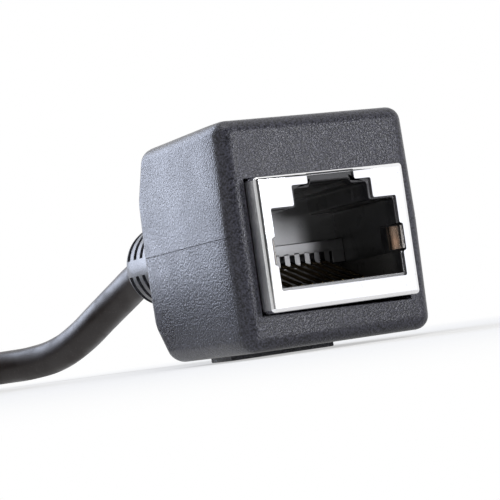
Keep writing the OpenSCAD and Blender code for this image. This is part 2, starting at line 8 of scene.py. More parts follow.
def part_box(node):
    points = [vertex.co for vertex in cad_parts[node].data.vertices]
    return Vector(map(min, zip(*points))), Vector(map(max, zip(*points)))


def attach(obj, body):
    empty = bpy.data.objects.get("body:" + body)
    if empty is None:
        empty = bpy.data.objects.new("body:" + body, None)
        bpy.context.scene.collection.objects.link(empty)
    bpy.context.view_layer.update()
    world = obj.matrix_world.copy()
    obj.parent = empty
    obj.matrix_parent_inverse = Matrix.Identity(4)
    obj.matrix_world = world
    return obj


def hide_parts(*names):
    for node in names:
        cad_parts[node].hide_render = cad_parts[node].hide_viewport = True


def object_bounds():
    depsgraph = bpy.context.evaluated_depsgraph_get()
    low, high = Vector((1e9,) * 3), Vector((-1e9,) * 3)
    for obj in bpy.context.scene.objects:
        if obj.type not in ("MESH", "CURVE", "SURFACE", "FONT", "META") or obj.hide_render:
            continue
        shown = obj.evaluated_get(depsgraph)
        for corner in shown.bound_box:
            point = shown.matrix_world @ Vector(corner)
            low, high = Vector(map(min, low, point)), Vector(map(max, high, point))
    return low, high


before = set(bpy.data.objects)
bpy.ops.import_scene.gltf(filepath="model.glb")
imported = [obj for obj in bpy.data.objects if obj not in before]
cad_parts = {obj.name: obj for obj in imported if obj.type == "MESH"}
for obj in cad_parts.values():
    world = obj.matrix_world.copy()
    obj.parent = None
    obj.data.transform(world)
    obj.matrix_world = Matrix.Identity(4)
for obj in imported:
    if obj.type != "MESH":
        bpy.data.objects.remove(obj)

cad_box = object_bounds()

# Socket body: a block of smooth black plastic with the stepped plug cavity, moulded in one shot.
# Its lip shows as a thin border inside the metal opening, side recesses take the ground fingers, and a
# comb at the rear keeps the sprung contacts apart. It slides into the shield from behind.
mm = 0.001
jack_low, jack_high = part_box("jack_body")
shield_low, shield_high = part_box("shield")
mouth_y = shield_low.y
cavity_half = 5.95 * mm
step_half = 3.55 * mm
notch_half = 1.96 * mm
cavity_floor = shield_low.z + 2.04 * mm
cavity_top = shield_low.z + 8.63 * mm
step_top = shield_low.z + 10.24 * mm
notch_top = shield_low.z + 10.65 * mm
finger_play = 0.2 * mm
finger_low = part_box("ground_finger_right")[0].z - finger_play
finger_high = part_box("ground_finger_right")[1].z + finger_play
finger_recess = 0.75 * mm
well_half = 4.43 * mm
well_floor = jack_low.z + 0.02 * mm
lip_end = mouth_y + 2.8 * mm
lip_round = 0.07 * mm
notch_round = 0.16 * mm
lip_corner = 0.25 * mm
recess_end = mouth_y + 3.3 * mm
cavity_back = mouth_y + 11.5 * mm
comb_front = mouth_y + 10.3 * mm
comb_low = shield_low.z + 3.95 * mm
comb_slot_top = shield_low.z + 5.05 * mm
comb_top = shield_low.z + 6.15 * mm
comb_round = 0.1 * mm
comb_end = 4.6 * mm
contact_count = 8
contact_pitch = 1.02 * mm
wall_middles = [(i - contact_count / 2) * contact_pitch for i in range(contact_count + 1)]
tooth_w = 0.5 * mm
tooth_round = 0.24 * mm
tooth_top = comb_slot_top + 0.2 * mm
well_painted_light = (0.07, 0.068, 0.066)
well_shade_end = comb_low - 0.1 * mm
lip_shine_low = 0.9
lip_shine_high = 0.1
inside_start = mouth_y + mm
inside_full = mouth_y + 2 * mm


def cavity_outline(recess, well):
    """Corners of the cavity seen from the front, with or without the finger recesses and the contact well."""
    floor = [(-cavity_half, cavity_floor), (cavity_half, cavity_floor)]
    if well:
        floor[1:1] = [(-well_half, cavity_floor), (-well_half, well_floor),
                      (well_half, well_floor), (well_half, cavity_floor)]
    side = []
    if recess:
        deep = cavity_half + finger_recess
        side = [(cavity_half, finger_low), (deep, finger_low),
                (deep, finger_high), (cavity_half, finger_high)]
    steps = [(cavity_half, cavity_top), (step_half, cavity_top), (step_half, step_top),
             (notch_half, step_top), (notch_half, notch_top)]
    mirrored = [(-x, z) for x, z in reversed(side + steps)]
    return floor + side + steps + mirrored


def edge_loop(bm, points, y):
    """Joins points of a front view into a closed loop of edges at depth y."""
    corners = [bm.verts.new((x, y, z)) for x, z in points]
    return [bm.edges.new((corners[i - 1], corners[i])) for i in range(len(corners))]


def rectangle(low, high):
    """Corners of a box seen from the front."""
    return [(low.x, low.z), (high.x, low.z), (high.x, high.z), (low.x, high.z)]


def round_edges(bm, edges, radius, segments):
    """Rounds edges between faces."""
    bmesh.ops.bevel(bm, geom=edges, offset=radius, segments=segments, affect="EDGES", profile=0.5,
                    material=-1)


def round_corners(bm, corners, radius):
    """Rounds corners of a loop of edges that has no faces yet."""
    bmesh.ops.bevel(bm, geom=corners, offset=radius, segments=3, affect="VERTICES", profile=0.5,
                    material=-1)


def made_verts(parts):
    """The vertices among the parts that an extrusion made."""
    return [part for part in parts if isinstance(part, bmesh.types.BMVert)]


def add_block(bm, low, high, bevel=0.0, segments=2):
    """A block between two corners, with all its edges rounded when a bevel is given."""
    place = Matrix.Translation((Vector(low) + Vector(high)) / 2)
    size = Matrix.Diagonal((*(Vector(high) - Vector(low)), 1))
    block = bmesh.ops.create_cube(bm, size=1, matrix=place @ size)["verts"]
    if bevel:
        round_edges(bm, list({e for v in block for e in v.link_edges}), bevel, segments)
    return block


def make_mesh(name, bm, finish):
    """Turns a finished bmesh into a mesh with one material."""
    mesh = bpy.data.meshes.new(name)
    bm.to_mesh(mesh)
    bm.free()
    mesh.materials.append(finish)
    return mesh


def add_object(name, data):
    """Puts a mesh, curve, lamp or camera into the scene."""
    thing = bpy.data.objects.new(name, data)
    bpy.context.scene.collection.objects.link(thing)
    return thing


def finish_piece(name, bm, finish, body, nodes, sharp=38.0, sheet=0.0):
    """Makes the object of a piece: smooth but for its sharp edges, with its finish, body and CAD nodes."""
    bmesh.ops.recalc_face_normals(bm, faces=bm.faces)
    if sheet:
        # The faces of a sheet are its outside, and it gets its thickness inwards
        low = Vector(min(v.co[i] for v in bm.verts) for i in range(3))
        high = Vector(max(v.co[i] for v in bm.verts) for i in range(3))
        inward = [f for f in bm.faces if (f.calc_center_median() - (low + high) / 2).dot(f.normal) < 0]
        bmesh.ops.reverse_faces(bm, faces=inward)
    for f in bm.faces:
        f.smooth = True
    for e in bm.edges:
        e.smooth = e.smooth and len(e.link_faces) == 2 and e.calc_face_angle() < math.radians(sharp)
    piece = add_object(name, make_mesh(name, bm, finish))
    if sheet:
        wall = piece.modifiers.new("sheet", "SOLIDIFY")
        wall.thickness = sheet
        wall.offset = -1
        wall.use_even_offset = True
    flat = piece.modifiers.new("flat faces", "WEIGHTED_NORMAL")
    flat.keep_sharp = True
    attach(piece, body)
    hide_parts(*nodes)
    return piece


def new_group(name, inputs, outputs):
    """An empty shader node group with number inputs (name, default) and named outputs."""
    group = bpy.data.node_groups.new(name, "ShaderNodeTree")
    for label, value in inputs:
        group.interface.new_socket(label, in_out="INPUT", socket_type="NodeSocketFloat").default_value = value
    for label in outputs:
        group.interface.new_socket(label, in_out="OUTPUT", socket_type="NodeSocketFloat")
    start = group.nodes.new("NodeGroupInput")
    end = group.nodes.new("NodeGroupOutput")
    return group, start, end


def math_node(tree, operation, *values, clamp=False):
    """A math node whose inputs are numbers or sockets; returns its output."""
    node = tree.nodes.new("ShaderNodeMath")
    node.operation = operation
    node.use_clamp = clamp
    for socket, value in zip(node.inputs, values):
        if isinstance(value, (int, float)):
            socket.default_value = value
        else:
            tree.links.new(value, socket)
    return node.outputs[0]


def noise(tree, coordinates, scale, detail=2.0, roughness=0.5, distortion=0.0):
    """A noise texture on given coordinates; scale is a number of waves per metre, or a socket."""
    node = tree.nodes.new("ShaderNodeTexNoise")
    tree.links.new(coordinates, node.inputs["Vector"])
    if isinstance(scale, (int, float)):
        node.inputs["Scale"].default_value = scale
    else:
        tree.links.new(scale, node.inputs["Scale"])
    node.inputs["Detail"].default_value = detail
    node.inputs["Roughness"].default_value = roughness
    node.inputs["Distortion"].default_value = distortion
    return node.outputs["Fac"]


def map_range(tree, value, low, high, to_low, to_high, smooth=False):
    """Maps a value between two limits to two others."""
    node = tree.nodes.new("ShaderNodeMapRange")
    node.interpolation_type = "SMOOTHSTEP" if smooth else "LINEAR"
    for label, number in (("From Min", low), ("From Max", high), ("To Min", to_low), ("To Max", to_high)):
        node.inputs[label].default_value = number
    tree.links.new(value, node.inputs["Value"])
    return node.outputs["Result"]


def surface(tree, kind="Object"):
    """Where a point of a piece is, or with "Normal" which way it faces, in the frame of the CAD."""
    return tree.nodes.new("ShaderNodeTexCoord").outputs[kind]


def axes(tree, vector):
    """The X, Y and Z of a vector, as outputs with these names."""
    split = tree.nodes.new("ShaderNodeSeparateXYZ")
    tree.links.new(vector, split.inputs[0])
    return split.outputs


def handling_group():
    """Faint smudges and fine specks that a handled surface carries."""
    group, start, end = new_group("handling marks", [("Smudge size", 0.004), ("Speck size", 0.0003)],
                                  ["Smudge", "Speck"])
    place = surface(group)
    smudge_scale = math_node(group, "DIVIDE", 1.0, start.outputs["Smudge size"])
    speck_scale = math_node(group, "DIVIDE", 1.0, start.outputs["Speck size"])
    smudge = noise(group, place, smudge_scale, detail=3.0, roughness=0.55, distortion=0.4)
    speck = noise(group, place, speck_scale, detail=1.0)
    group.links.new(map_range(group, smudge, 0.35, 0.7, 0.0, 1.0, True), end.inputs["Smudge"])
    group.links.new(map_range(group, speck, 0.62, 0.76, 0.0, 1.0, True), end.inputs["Speck"])
    return group


handling_marks = handling_group()


def new_finish(name, color, roughness, metallic=0.0, specular=0.5):
    """A Principled material and its tree; what is the same all over goes on the shader's own sockets."""
    material = bpy.data.materials.new(name)
    material.use_nodes = True
    tree = material.node_tree
    shader = tree.nodes["Principled BSDF"]
    shader.inputs["Base Color"].default_value = (*color, 1)
    shader.inputs["Roughness"].default_value = roughness
    shader.inputs["Metallic"].default_value = metallic
    shader.inputs["Specular IOR Level"].default_value = specular
    return material, tree, shader


def set_values(node, **values):
    """Sets plain numbers on a node's inputs."""
    for label, value in values.items():
        node.inputs[label.replace("_", " ")].default_value = value


def place_group(tree, group, **values):
    """Puts a shader group into a material, with its own values."""
    node = tree.nodes.new("ShaderNodeGroup")
    node.node_tree = group
    set_values(node, **values)
    return node


def shader_of(material):
    """The shader node of a material."""
    return material.node_tree.nodes["Principled BSDF"]


def mix_color(tree, factor, first, second):
    """Mixes two colours, each given as numbers or a socket."""
    node = tree.nodes.new("ShaderNodeMix")
    node.data_type = "RGBA"
    tree.links.new(factor, node.inputs["Factor"])
    for socket, value in ((node.inputs[6], first), (node.inputs[7], second)):
        if isinstance(value, tuple):
            socket.default_value = (*value, 1)
        else:
            tree.links.new(value, socket)
    return node.outputs[2]


def tint(material, mask, color):
    """Mixes a colour into what a material has already, where a mask says so."""
    tree = material.node_tree
    socket = shader_of(material).inputs["Base Color"]
    tree.links.new(mix_color(tree, mask, socket.links[0].from_socket, color), socket)


def add_bump(tree, shader, height, distance):
    """Feeds a height into the shader's normal; distance is the relief in metres."""
    node = tree.nodes.new("ShaderNodeBump")
    set_values(node, Strength=1.0, Distance=distance)
    tree.links.new(height, node.inputs["Height"])
    tree.links.new(node.outputs["Normal"], shader.inputs["Normal"])


def smooth_plastic(name, color, roughness, relief=0.004 * mm):
    """Smooth moulded plastic: even colour, slightly uneven gloss, and a faint ripple."""
    material, tree, shader = new_finish(name, color, roughness)
    marks = place_group(tree, handling_marks, Smudge_size=3 * mm, Speck_size=0.25 * mm)
    lighter = tuple(min(1.0, c * 1.6 + 0.006) for c in color)
    tree.links.new(mix_color(tree, marks.outputs["Speck"], color, lighter), shader.inputs["Base Color"])
    gloss = map_range(tree, marks.outputs["Smudge"], 0, 1, roughness * 0.8, roughness * 1.3)
    tree.links.new(gloss, shader.inputs["Roughness"])
    add_bump(tree, shader, marks.outputs["Smudge"], relief)
    return material


# Painted highlight: the lip's coat is glossier at its foot. Behind it the walls are polished, and the well of
# the contacts is dull
socket_plastic = smooth_plastic("socket plastic", (0.016, 0.016, 0.018), roughness=0.32, relief=0.002 * mm)
socket_shader = shader_of(socket_plastic)
set_values(socket_shader, Specular_IOR_Level=0.2, Coat_IOR=2.0, Coat_Roughness=0.3)
tree = socket_plastic.node_tree
place = axes(tree, surface(tree))
above_well = map_range(tree, place["Z"], well_shade_end, comb_low, 0.0, 1.0)
# The lip's coat falls from its foot to its top: a painted highlight low down and painted shade high up, as
# light falls from above
lip_shine = map_range(tree, place["Z"], cavity_floor, cavity_top, lip_shine_low, lip_shine_high)
inside = map_range(tree, place["Y"], inside_start, inside_full, 0.0, 1.0)
change = math_node(tree, "SUBTRACT", above_well, lip_shine)
shine = math_node(tree, "MULTIPLY_ADD", inside, change, lip_shine)
tree.links.new(shine, socket_shader.inputs["Coat Weight"])
# The well of the contacts is painted a lighter grey than the rest of the plastic: painted light in its shade
in_well = math_node(tree, "MULTIPLY", inside, math_node(tree, "SUBTRACT", 1.0, above_well))
tint(socket_plastic, in_well, well_painted_light)
bm = bmesh.new()
for front, back, recess, well in ((jack_low.y, lip_end, True, False), (lip_end, recess_end, True, True),
                                  (recess_end, cavity_back, False, True)):
    outer = edge_loop(bm, rectangle(jack_low, jack_high), front)
    inner = edge_loop(bm, cavity_outline(recess, well), front)
    corners = list({v for e in inner for v in e.verts if v.co.z > cavity_top - lip_round})
    round_corners(bm, corners, lip_corner)
    inner = [e for e in bm.edges if not e.link_faces and e not in outer]
    wall = bmesh.ops.triangle_fill(bm, edges=outer + inner, use_beauty=True)["geom"]
    wall = [part for part in wall if isinstance(part, bmesh.types.BMFace)]
    pulled = bmesh.ops.extrude_face_region(bm, geom=wall)["geom"]
    bmesh.ops.translate(bm, verts=made_verts(pulled), vec=(0, back - front, 0))
    if front == jack_low.y:
        under_notch = [e for e in inner if all(v.co.z > notch_top - lip_round for v in e.verts)]
        round_edges(bm, under_notch, notch_round, segments=4)
        round_edges(bm, [e for e in inner if e.is_valid], lip_round, segments=4)
add_block(bm, (jack_low.x, cavity_back, jack_low.z), jack_high)
add_block(bm, (-cavity_half, comb_front, comb_slot_top), (cavity_half, cavity_back, comb_top), comb_round)
for middle in wall_middles:
    tooth = add_block(bm, (middle - tooth_w / 2, comb_front, comb_low),
                      (middle + tooth_w / 2, cavity_back, tooth_top))
    tip = {e for v in tooth for e in v.link_edges if all(u.co.z < comb_low + tooth_round for u in e.verts)}
    tip = [e for e in tip if abs(e.verts[0].co.y - e.verts[1].co.y) > tooth_round]
    round_edges(bm, tip, tooth_round, segments=5)
for side in (-1, 1):
    ends = sorted((side * comb_end, side * cavity_half))
    add_block(bm, (ends[0], comb_front, comb_low), (ends[1], cavity_back, tooth_top), comb_round)
finish_piece("socket_body", bm, socket_plastic, "socket", ["jack_body"])


# Contacts, their carrier and the solder board: gold plated spring wires pressed into a dull plastic block,
# with their tails soldered to a small board. They keep their CAD shapes, which are plain wires and plates.
def plated_metal(name, color, roughness, streak=0.0):
    """Plated metal: a little uneven gloss and, where a height is given, fine drawing lines along Y."""
    material, tree, shader = new_finish(name, color, roughness, metallic=1.0)
    marks = place_group(tree, handling_marks, Smudge_size=2 * mm, Speck_size=0.2 * mm)
    darker = tuple(c * 0.93 for c in color)
    tree.links.new(mix_color(tree, marks.outputs["Speck"], color, darker), shader.inputs["Base Color"])
    gloss = map_range(tree, marks.outputs["Smudge"], 0, 1, roughness * 0.7, roughness * 1.5)
    tree.links.new(gloss, shader.inputs["Roughness"])
    if streak:
        stretch = tree.nodes.new("ShaderNodeMapping")
        stretch.inputs["Scale"].default_value = (1, 0.03, 1)
        tree.links.new(surface(tree), stretch.inputs["Vector"])
        add_bump(tree, shader, noise(tree, stretch.outputs["Vector"], scale=9000), streak)
    return material


def dress_node(node, finish):
    """Gives a CAD node that keeps its own shape a finish."""
    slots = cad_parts[node].data.materials
    slots.clear()
    slots.append(finish)


# The gold is darkened far below plating: painted shade, as the wires lie in the dark well
contact_gold = plated_metal("contact gold", (0.26, 0.19, 0.09), roughness=0.12)
dress_node("contact_roots", contact_gold)
for i in range(contact_count):
    dress_node("contact_arm_%d" % (i + 1), contact_gold)
carrier_plastic = smooth_plastic("carrier plastic", (0.012, 0.012, 0.013), roughness=0.6)
set_values(shader_of(carrier_plastic), Specular_IOR_Level=0.2)
dress_node("contact_carrier", carrier_plastic)
board_green = smooth_plastic("board lacquer", (0.012, 0.1, 0.04), roughness=0.3)
dress_node("solder_board", board_green)

# Conductors, drain wire and ferrule: eight insulated cores from the board to the cord's jacket, a bare
# tinned wire to the shield's tab, and a steel ferrule that holds the jacket. All are inside the housing.
core_colors = [(0.8, 0.79, 0.74), (0.75, 0.26, 0.04), (0.78, 0.8, 0.76), (0.04, 0.13, 0.5),
               (0.77, 0.78, 0.8), (0.04, 0.3, 0.09), (0.8, 0.76, 0.72), (0.18, 0.07, 0.03)]
for i, color in enumerate(core_colors, start=1):
    dress_node("conductor_%d" % i, smooth_plastic("core insulation %d" % i, color, roughness=0.35))
tinned = plated_metal("tinned wire", (0.72, 0.72, 0.7), roughness=0.35, streak=0.003 * mm)
dress_node("drain_wire", tinned)
dress_node("crimp_ring", tinned)

# Shield: one sheet of bright plated metal, cut to the stepped opening and folded back along the socket body
# in tight bends. Its polished face stands proud of the housing, and its side walls are left as rolled, dull
# and finely scratched.
sheet_t = 0.3 * mm
fold_r = 0.36 * mm
shield_end = mouth_y + 14.9 * mm
opening_half = 6.12 * mm
opening_step = 3.87 * mm
opening_notch = 2.28 * mm
opening_low = shield_low.z + 1.74 * mm
opening_top = shield_low.z + 8.8 * mm
opening_mid = shield_low.z + 10.56 * mm
opening_high = shield_high.z - fold_r - 0.04 * mm
opening_corner = 0.16 * mm
notch_edge = shield_high.z - 0.16 * mm
finger_edge = opening_half + 0.3 * mm
side_roughness = 0.22
scratch_h = 0.05 * mm
bright_plate = plated_metal("bright plate", (0.9, 0.9, 0.91), roughness=0.08)
shader = shader_of(bright_plate)
tree = bright_plate.node_tree
sideways = math_node(tree, "ABSOLUTE", axes(tree, surface(tree, "Normal"))["X"])
side_wall = map_range(tree, sideways, 0.85, 0.98, 0.0, 1.0)
face_gloss = shader.inputs["Roughness"].links[0].from_socket
tree.links.new(math_node(tree, "MULTIPLY_ADD", side_wall, side_roughness, face_gloss),
               shader.inputs["Roughness"])
scratches = noise(tree, surface(tree), scale=4500, detail=3.0, roughness=0.7)
add_bump(tree, shader, math_node(tree, "MULTIPLY", scratches, side_wall), scratch_h)
bm = bmesh.new()
add_block(bm, (shield_low.x, mouth_y, shield_low.z), (shield_high.x, shield_end, shield_high.z))
back = max(bm.faces, key=lambda f: f.normal.y)
bmesh.ops.delete(bm, geom=[back], context="FACES_ONLY")
folds = [e for e in bm.edges if len(e.link_faces) == 2]
round_edges(bm, folds, fold_r, segments=5)
bm.normal_update()
face = min(bm.faces, key=lambda f: f.normal.y)
border = list(face.edges)
bmesh.ops.delete(bm, geom=[face], context="FACES_ONLY")
half_opening = [(opening_half, opening_low), (opening_half, finger_low), (finger_edge, finger_low),
                (finger_edge, finger_high), (opening_half, finger_high), (opening_half, opening_top),
                (opening_step, opening_top), (opening_step, opening_mid), (opening_notch, opening_mid),
                (opening_notch, opening_high)]
opening = edge_loop(bm, half_opening + [(-x, z) for x, z in reversed(half_opening)], mouth_y)
round_corners(bm, list({v for e in opening for v in e.verts}), opening_corner)
opening = [e for e in bm.edges if not e.link_faces and e not in border]
bmesh.ops.triangle_fill(bm, edges=border + opening, use_beauty=True, normal=(0, -1, 0))
for e in border:
    e.smooth = False

# The latch notch is cut on up through the fold at the top of the face
for place, direction in (((opening_notch, 0, 0), (1, 0, 0)), ((-opening_notch, 0, 0), (1, 0, 0)),
                         ((0, 0, notch_edge), (0, 0, 1))):
    bmesh.ops.bisect_plane(bm, geom=bm.verts[:] + bm.edges[:] + bm.faces[:], dist=1e-8, plane_co=place,
                           plane_no=direction)
in_notch = []
for f in bm.faces:
    middle = f.calc_center_median()
    at_front = middle.y < mouth_y + fold_r and opening_mid < middle.z < notch_edge
    if at_front and abs(middle.x) < opening_notch:
        in_notch.append(f)
bmesh.ops.delete(bm, geom=in_notch, context="FACES")
finish_piece("socket_shield", bm, bright_plate, "socket", ["shield"], sheet=sheet_t)

# Ground fingers: two spring strips of plated copper alloy, cut from the shield's side of the opening and
# bent inwards, which press on the shell of a plug. Each one flexes outwards on its bend, and its plating is
# worn through to the alloy where plugs rub it.
finger_t = 0.2 * mm
finger_line = [(6.32, 0.05), (6.24, 0.07), (6.18, 0.13), (6.15, 0.25), (6.08, 0.45), (5.85, 0.85),
               (5.68, 1.15), (5.6, 1.35), (5.62, 1.55), (5.75, 1.85), (6.0, 2.3)]
worn_alloy = (0.56, 0.43, 0.34)
worn_start = mouth_y + 0.3 * mm
worn_full = mouth_y + 0.55 * mm
finger_metal = plated_metal("finger plate", (0.62, 0.59, 0.57), roughness=0.26)
tree = finger_metal.node_tree
worn = map_range(tree, axes(tree, surface(tree))["Y"], worn_start, worn_full, 0.0, 1.0, True)
tint(finger_metal, worn, worn_alloy)
for side, label in ((-1, "left"), (1, "right")):
    low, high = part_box("ground_finger_" + label)
    bm = bmesh.new()
    chain = [bm.verts.new((side * x * mm, mouth_y + y * mm, low.z)) for x, y in finger_line]
    edges = [bm.edges.new(pair) for pair in zip(chain, chain[1:])]
    pulled = bmesh.ops.extrude_edge_only(bm, edges=edges)["geom"]
    bmesh.ops.translate(bm, verts=made_verts(pulled), vec=(0, 0, high.z - low.z))
    bmesh.ops.recalc_face_normals(bm, faces=bm.faces)
    bmesh.ops.solidify(bm, geom=bm.faces[:], thickness=finger_t / 2)
    finish_piece("socket_finger_" + label, bm, finger_metal, "ground_finger_" + label,
                 ["ground_finger_" + label])

# Housing: two half shells of black plastic with a fine spark-eroded grain, joined at a seam round the middle.
# The front frames the shield, the left side curves in a little towards the front, the rear slopes in above
# and below the cord, and a low pad is moulded under it.
shell_low, shell_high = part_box("lower_shell")[0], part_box("upper_shell")[1]
seam_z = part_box("lower_shell")[1].z
foot_h = 0.5 * mm
base_z = shell_low.z + foot_h
side_draft = 0.2 * mm
nose_curve = [(0, 0.36 * mm), (1.7 * mm, 0.12 * mm), (2.8 * mm, 0.03 * mm), (4.4 * mm, 0)]
nose_share = {-1: 1.0, 1: 0.1}
shell_edge_r = 1.25 * mm
seam_chamfer = 0.045 * mm
seam_reach = shell_high.x - 0.45 * mm
frame_round = 0.1 * mm
frame_gap = 0.06 * mm
frame_slot = 0.3 * mm
frame_half = shield_high.x + frame_gap
rear_wall = 1.6 * mm
foot_back = 11.8 * mm
foot_size = Vector((10.6, 4.6, 0.5)) * mm
foot_round = 0.1 * mm
same_place = 1e-6
flat_angle = 0.01
edge_angle = 0.2


def grain_group():
    """Spark-eroded mould grain: a worm-like relief, a little lower on rounded edges, and a mask of flats."""
    group, start, end = new_group("mould grain", [("Grain size", 0.00024)], ["Height", "Flat"])
    scale = math_node(group, "DIVIDE", 1.0, start.outputs["Grain size"])
    worm = noise(group, surface(group), scale, detail=1.5, roughness=0.5, distortion=0.3)
    sizes = [math_node(group, "ABSOLUTE", axis) for axis in axes(group, surface(group, "Normal"))]
    largest = math_node(group, "MAXIMUM", math_node(group, "MAXIMUM", sizes[0], sizes[1]), sizes[2])
    flat = map_range(group, largest, 0.9, 0.995, 0.0, 1.0, True)
    relief = map_range(group, worm, 0.3, 0.7, 0.0, 1.0, True)
    share = map_range(group, flat, 0, 1, 0.9, 1.0)
    group.links.new(math_node(group, "MULTIPLY", relief, share), end.inputs["Height"])
    group.links.new(flat, end.inputs["Flat"])
    return group


mould_grain = grain_group()


def grained_plastic(name, color, roughness, relief):
    """Black plastic out of a spark-eroded mould: lighter on the grain's peaks as painted glints, glossier on
    rounded edges.
    """
    material, tree, shader = new_finish(name, color, roughness, specular=0.4)
    grain = place_group(tree, mould_grain, Grain_size=0.18 * mm)
    marks = place_group(tree, handling_marks, Smudge_size=5 * mm, Speck_size=0.3 * mm)
    # The grain's peaks are painted seven times lighter: painted glints where light catches the relief of the
    # grain
    peak = tuple(c * 7 for c in color)
    tree.links.new(mix_color(tree, grain.outputs["Height"], color, peak), shader.inputs["Base Color"])
    plain = map_range(tree, grain.outputs["Flat"], 0, 1, roughness - 0.02, roughness)
    gloss = math_node(tree, "MULTIPLY_ADD", marks.outputs["Smudge"], 0.08, plain)
    tree.links.new(gloss, shader.inputs["Roughness"])
    add_bump(tree, shader, grain.outputs["Height"], relief)
    return material


housing_plastic = grained_plastic("housing plastic", (0.0078, 0.0078, 0.0105), roughness=0.27,
                                  relief=0.019 * mm)


def half_shell(outer_z, frame_z, slope_d, slope_h):
    """One half shell: a rounded half block with a sloped rear and a channel for the shield in its front."""
    front_y, rear_y = shell_low.y, shell_high.y
    slope_z = outer_z - slope_h if outer_z > seam_z else outer_z + slope_h
    nose_y = [front_y + step for step, inset in nose_curve]
    profile = [(y, seam_z) for y in nose_y]
    profile += [(rear_y, seam_z), (rear_y, slope_z), (rear_y - slope_d, outer_z)]
    profile += [(y, outer_z) for y in reversed(nose_y)]
    drawn_in = [inset for step, inset in nose_curve]
    drawn_in += [0, 0, 0] + drawn_in[::-1]
    bm = bmesh.new()
    rows = []
    for side in (-1, 1):
        lean = [side_draft * (z - seam_z) / (outer_z - seam_z) for y, z in profile]
        rows.append([bm.verts.new((side * (shell_high.x - a - b * nose_share[side]), y, z))
                     for (y, z), a, b in zip(profile, lean, drawn_in)])
        last = len(nose_curve) - 1
        for i in range(last):
            bm.faces.new((rows[-1][i], rows[-1][i + 1], rows[-1][-2 - i], rows[-1][-1 - i]))
        bm.faces.new(rows[-1][last:len(profile) - last])
    for i in range(len(profile)):
        bm.faces.new((rows[0][i - 1], rows[0][i], rows[1][i], rows[1][i - 1]))
    bmesh.ops.recalc_face_normals(bm, faces=bm.faces)
    across = [e for e in bm.edges if e.verts[0].co.x * e.verts[1].co.x < 0]
    between_flats = [e for e in across if e.calc_face_angle() < flat_angle]
    bmesh.ops.dissolve_edges(bm, edges=between_flats, use_verts=False)
    off_seam = [e for e in bm.edges if any(abs(v.co.z - seam_z) > same_place for v in e.verts)]
    round_edges(bm, [e for e in off_seam if e.calc_face_angle() > edge_angle], shell_edge_r, segments=6)
    bm.normal_update()

    # The channel takes the place of the edge between the front face and the seam face
    on_seam = [e for e in bm.edges if all(abs(v.co.z - seam_z) < same_place for v in e.verts)]
    edge = [e for e in on_seam if all(abs(v.co.y - front_y) < same_place for v in e.verts)][0]
    back_y = rear_y - rear_wall
    channel = [(-frame_half, seam_z), (-frame_half, frame_z[0]),
               (frame_half, frame_z[1]), (frame_half, seam_z)]
    mouth, end = ([bm.verts.new((x, y, z)) for x, z in channel] for y in (front_y, back_y))
    notches = {True: mouth, False: [mouth[0], end[0], end[3], mouth[3]]}
    for face in list(edge.link_faces):
        ring = list(face.verts)
        start = next(i for i in range(len(ring)) if {ring[i - 1], ring[i]} == set(edge.verts))
        ring = ring[start:] + ring[:start]
        notch = notches[abs(face.normal.y) > abs(face.normal.z)]
        bm.faces.new(ring + (notch if ring[-1].co.x < 0 else notch[::-1]))
    bmesh.ops.delete(bm, geom=[edge], context="EDGES")
    for i in range(len(channel) - 1):
        bm.faces.new((mouth[i], mouth[i + 1], end[i + 1], end[i]))
    bm.faces.new(end)
    bmesh.ops.recalc_face_normals(bm, faces=bm.faces)
    rim = [e for e in bm.edges if all(v in mouth for v in e.verts)]
    round_edges(bm, rim, frame_round, segments=3)
    on_seam = [e for e in bm.edges if all(abs(v.co.z - seam_z) < same_place for v in e.verts)]
    at_side = [e for e in on_seam if all(abs(v.co.x) > seam_reach for v in e.verts)]
    round_edges(bm, at_side, seam_chamfer, segments=1)
    return bm


upper = half_shell(shell_high.z, frame_z=[shield_high.z + frame_gap] * 2, slope_d=2.2 * mm, slope_h=4.6 * mm)
finish_piece("housing_upper", upper, housing_plastic, "socket", ["upper_shell"])
lower = half_shell(base_z, frame_z=[shield_low.z - frame_gap, shield_low.z - frame_slot], slope_d=2.6 * mm,
                   slope_h=3.4 * mm)
foot_low = Vector((-foot_size.x / 2, shell_low.y + foot_back, shell_low.z))
foot_high = foot_low + Vector((foot_size.x, foot_size.y, 2 * foot_size.z))
add_block(lower, foot_low, foot_high, foot_round)
finish_piece("housing_lower", lower, housing_plastic, "socket", ["lower_shell"])

# Strain relief: a soft black moulding on the cord; its flange behind the housing wall is not drawn. Rings of
# slots leave a web at each side, so that it bends with the cord, and its end is blunt.
boot_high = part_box("strain_relief")[1]
boot_z = seam_z
boot_root_y = shell_high.y + 0.05 * mm
boot_root_r = 4.7 * mm
boot_end_r = 4.2 * mm
boot_tip_r = 1.2 * mm
boot_tip_steps = 6
boot_core_r = 2.9 * mm
boot_steps = 96
slot_pitch = 1.8 * mm
slot_w = 0.85 * mm
last_slot = boot_high.y - 1.7 * mm
slot_count = 8
web_half = 0.9 * mm
cord_d = 3.8 * mm
boot_soft = grained_plastic("boot plastic", (0.013, 0.013, 0.015), roughness=0.34, relief=0.006 * mm)
set_values(shader_of(boot_soft), Specular_IOR_Level=0.7)


def boot_radius(y):
    """The boot's outer radius at a place along it."""
    return boot_root_r + (boot_end_r - boot_root_r) * (y - boot_root_y) / (boot_high.y - boot_root_y)


def turn_round(bm, line, middle, steps):
    """Turns a closed line of (radius, y) once round an axis along Y."""
    chain = [bm.verts.new(middle + Vector((0, y, radius))) for radius, y in line]
    edges = [bm.edges.new(pair) for pair in zip(chain, chain[1:] + chain[:1])]
    bmesh.ops.spin(bm, geom=chain + edges, cent=middle, axis=(0, 1, 0), angle=2 * math.pi, steps=steps,
                   use_merge=True)


